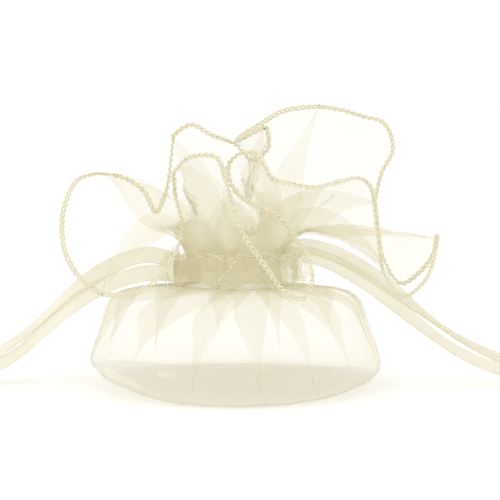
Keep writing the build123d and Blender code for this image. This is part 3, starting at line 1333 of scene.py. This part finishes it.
@dataclass
class Casing:
    """The two sewn strips round the neck that hold the ribbons, with their seams and hem stitches."""

    half_length: float = 0.0228
    half_depth: float = 0.0135
    middle: float = -0.0045
    columns: int = 160
    rows: int = 12
    front_end: float = 0.93
    weave_length: float = 0.3
    weave_height: float = 0.012
    stitches: int = 64
    seam_thread: float = 0.00011
    slant_stitches: int = 9
    slant_thread: float = 0.00013
    slant_foot: float = 0.335
    slant_lean: float = 0.155
    left_ribbon_height: float = 0.0361
    right_ribbon_height: float = 0.0400

    def band_point(self, side: int, share: float, level: float) -> Vector:
        """A point on one strip.

        Args:
            side: -1 for the front strip, 1 for the back one.
            share: 0 at the left mouth, 1 at the right one.
            level: 0 at the lower edge, 1 at the upper one.

        Returns:
            The point in metres.
        """
        low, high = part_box("casing_front")
        angle = math.pi - share * math.pi
        lean = 1.6 * math.sin(3 * angle + side) + 2.2 * (level - 0.5)
        crumple = 0.0011 * math.sin(19 * angle + lean) * (0.55 + abs(level - 0.5))
        crumple += 0.0006 * math.sin(37 * angle + 2 * side + 2.5 * level + lean)
        belly = 0.0016 * math.sin(math.pi * level) - 0.0012 * level
        x = self.middle + (self.half_length + belly + crumple) * math.cos(angle)
        y = side * (0.0035 * abs(math.cos(angle)) ** 6 + (self.half_depth + belly + crumple) * math.sin(angle))
        sway = 0.0009 * math.sin(7 * angle + side) + 0.0007 * math.sin(16 * angle + 3 * level)
        mouth = abs(math.cos(angle)) ** 10
        spread = (level - 0.5) * (1 - 0.3 * mouth)
        z = (low.z + high.z) / 2 + (high.z - low.z) * spread + sway * (0.4 + abs(level - 0.5))
        return Vector((x, y, z))

    def build_strip(self, side: int, name: str) -> bpy.types.Object:
        """Make one gathered strip.

        Args:
            side: -1 for the front strip, 1 for the back one.
            name: front or back.

        Returns:
            The strip.
        """
        points = []
        flat = []
        end = self.front_end if side < 0 else 1.0
        for row in range(self.rows):
            level = row / (self.rows - 1)
            for column in range(self.columns):
                share = end * column / (self.columns - 1)
                points.append(tuple(self.band_point(side, share, level)))
                flat.append((share * self.weave_length, level * self.weave_height))
        strip = mesh_piece(f"{name}_strip", np.array(points), grid_faces(self.columns, self.rows, False))
        set_flat(strip, np.array(flat))
        CASING_CLOTH.dress(strip)
        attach(strip, "pouch")
        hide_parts(f"casing_{name}")
        return strip

    def build_stitches(self, level: float, name: str, node: str) -> bpy.types.Object:
        """Sew one row of short stitches along both strips.

        Args:
            level: 0 at the strips' lower edge, 1 at the upper one.
            name: The row's name.
            node: The CAD node it replaces.

        Returns:
            The row of stitches.
        """
        pieces = []
        for side in (-1, 1):
            for number in range(self.stitches):
                start = 0.03 + (0.88 if side < 0 else 0.94) * number / self.stitches
                path = [
                    np.array(self.band_point(side, start + 0.0102 * k / 4, level)) for k in range(5)
                ]
                lift = np.array((0, side * 0.0001, 0))
                hump = [p + lift * (1 + 1.5 * math.sin(math.pi * k / 4)) for k, p in enumerate(path)]
                pieces.append(tube_mesh(f"stitch_{side}_{number}", np.array(hump), self.seam_thread, 5, False))
        row = join_pieces(pieces, name)
        SEWING_THREAD.dress(row)
        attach(row, "pouch")
        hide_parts(node)
        return row

    def overlap_point(self, across: float, level: float, lift: float) -> Vector:
        """A point on the slanted end of the front strip.

        Args:
            across: Metres from the slanted edge, to the right.
            level: 0 at the lower edge, 1 at the upper one.
            lift: Metres out from the strip below.

        Returns:
            The point in metres.
        """
        edge = self.slant_foot + self.slant_lean * level
        share = edge + across / 0.058
        base = self.band_point(-1, share, level)
        angle = math.pi - share * math.pi
        return base + Vector((math.cos(angle), -math.sin(angle), 0)) * lift

    def build_overlap(self) -> bpy.types.Object:
        """Lay the strip's doubled, slanted end over the front, with its hem stitches.

        Returns:
            The slanted end.
        """
        rows, columns = 14, 26
        points = []
        for row in range(rows):
            level = -0.02 + 1.04 * row / (rows - 1)
            for column in range(columns):
                across = 0.013 * (column / (columns - 1)) ** 1.4
                roll = 0.0009 * math.exp(-((across - 0.0009) / 0.0009) ** 2)
                points.append(tuple(self.overlap_point(across, level, 0.0007 + roll * (1 - level * 0.3))))
        flap = mesh_piece("casing_slanted_end", np.array(points), grid_faces(columns, rows, False))
        set_flat(flap, np.array([(column * 0.0005, row * 0.0009) for row in range(rows) for column in range(columns)]))
        CASING_CLOTH.dress(flap)
        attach(flap, "pouch")
        pieces = []
        for number in range(self.slant_stitches):
            start = 0.06 + 0.88 * number / self.slant_stitches
            path = []
            for k in range(5):
                hump = 0.0009 + 0.00015 * math.sin(math.pi * k / 4)
                path.append(np.array(self.overlap_point(0.0024, start + 0.055 * k / 4, hump)))
            pieces.append(tube_mesh(f"slant_{number}", np.array(path), self.slant_thread, 5, False))
        row = join_pieces(pieces, "slanted_end_stitches")
        SEWING_THREAD.dress(row)
        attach(row, "pouch")
        return flap

    def build_inner_ribbon(self, name: str, middle: float, inset: float) -> bpy.types.Object:
        """Run one ribbon round inside the casing, puckered as the channel is gathered.

        Args:
            name: The side the ribbon leaves by, left or right.
            middle: The height of its middle in metres.
            inset: How far it lies in from the other ribbon, in metres.

        Returns:
            The ribbon's run.
        """
        rows, columns = 7, 260
        opening = -1 if name == "left" else 1
        points = []
        for row in range(rows):
            across = (row / (rows - 1) - 0.5) * 0.0048
            for column in range(columns):
                angle = math.radians(11 + 338 * column / (columns - 1)) + (math.pi if opening < 0 else 0)
                pucker = 0.0007 * math.sin(23 * angle + 300 * middle) + 0.0004 * math.sin(41 * angle)
                reach = pucker - inset + 0.0004 * math.cos(across * 900)
                sway = 0.0006 * math.sin(5 * angle + 900 * middle) + 0.0003 * math.sin(13 * angle)
                points.append(
                    (
                        self.middle + (self.half_length - 0.0032 + reach) * math.cos(angle),
                        (self.half_depth - 0.0017 + reach) * math.sin(angle),
                        middle + across + sway,
                    )
                )
        ribbon = mesh_piece(f"{name}_gathered_ribbon", np.array(points), grid_faces(columns, rows, False))
        flat = [(column * 0.0005, (row - 3) * 0.0006) for row in range(rows) for column in range(columns)]
        set_flat(ribbon, np.array(flat))
        RIBBON.dress(ribbon)
        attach(ribbon, "pouch")
        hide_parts(f"{name}_ribbon_in_casing")
        return ribbon

    def build(self) -> list:
        """Build the strips, the slanted end and both seams.

        Returns:
            The two strips, which are sewn to the cloth and go with it.
        """
        self.build_overlap()
        self.build_inner_ribbon("left", self.left_ribbon_height, 0.0)
        self.build_inner_ribbon("right", self.right_ribbon_height, 0.0005)
        strips = [self.build_strip(-1, "front"), self.build_strip(1, "back")]
        self.build_stitches(0.1, "seam_lower_stitches", "casing_seam_lower")
        self.build_stitches(0.9, "seam_upper_stitches", "casing_seam_upper")
        return strips


def dress_frame_nodes() -> None:
    """Give the CAD pieces that stay in view their finishes."""
    for name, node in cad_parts.items():
        if name.startswith("hem_stitches"):
            SEWING_THREAD.dress(node)


def main() -> None:
    """Build the studio and every piece of the pouch in order."""
    logging.basicConfig(level=logging.INFO, format="%(name)s: %(message)s")
    Studio().build()
    Drawstring(Side.LEFT, LEFT_FRONT_ROUTE, LEFT_BACK_ROUTE).build()
    Drawstring(Side.RIGHT, RIGHT_FRONT_ROUTE, RIGHT_BACK_ROUTE).build()
    circle = ClothCircle()
    cloth = circle.build()
    edging = RimEdging().build(circle.rim, circle.below_rim)
    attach(cloth, "pouch")
    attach(edging, "pouch")
    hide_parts("organza_base", "organza_wall", "organza_neck", "organza_ruffle")
    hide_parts("rim_edging")
    strips = Casing().build()
    dress_frame_nodes()


if __name__ == "__main__":
    main()
